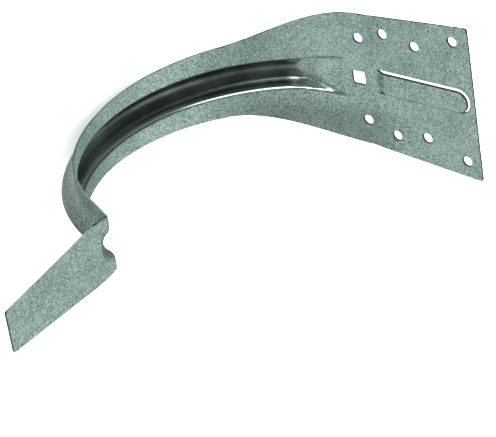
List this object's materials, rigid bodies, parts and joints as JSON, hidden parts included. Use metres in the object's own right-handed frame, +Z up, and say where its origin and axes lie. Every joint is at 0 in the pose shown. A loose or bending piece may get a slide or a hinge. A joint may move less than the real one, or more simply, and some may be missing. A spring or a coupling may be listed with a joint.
{
  "type": "half-round gutter bracket",
  "caption": "Sheet-steel bracket that fixes to a fascia and cradles a half-round roof gutter, with a ribbed curved arm and hand-bent straps that hold the gutter's edges.",
  "frame": {"origin": "on the plate's back face, on its centreline, between the square hole and the rear tongue", "axes": "+X away from the fascia, +Y along the gutter, +Z up"},
  "size_m": [0.2223, 0.0748, 0.1404],
  "materials": {
    "galvanised_sheet": "matt spangled galvanised",
    "galvanised_strap": "matt spangled galvanised",
    "galvanised_tongue": "matt spangled galvanised"
  },
  "bodies": {
    "bracket": {"bracket_body": "galvanised_sheet"},
    "strap": {"front_strap": "galvanised_strap"},
    "tongue": {"rear_tongue": "galvanised_tongue"}
  },
  "joints": [
    {"name": "front_strap_bend", "type": "hinge", "parent": "bracket", "child": "strap", "pos_m": [0.16195, 0, -0.02064], "axis": [0, -1, 0], "range_deg": [0, 165]},
    {"name": "rear_tongue_bend", "type": "hinge", "parent": "bracket", "child": "tongue", "pos_m": [0.0024, -0.001, 0.0086], "axis": [0, 1, 0], "range_deg": [0, 150]}
  ]
}
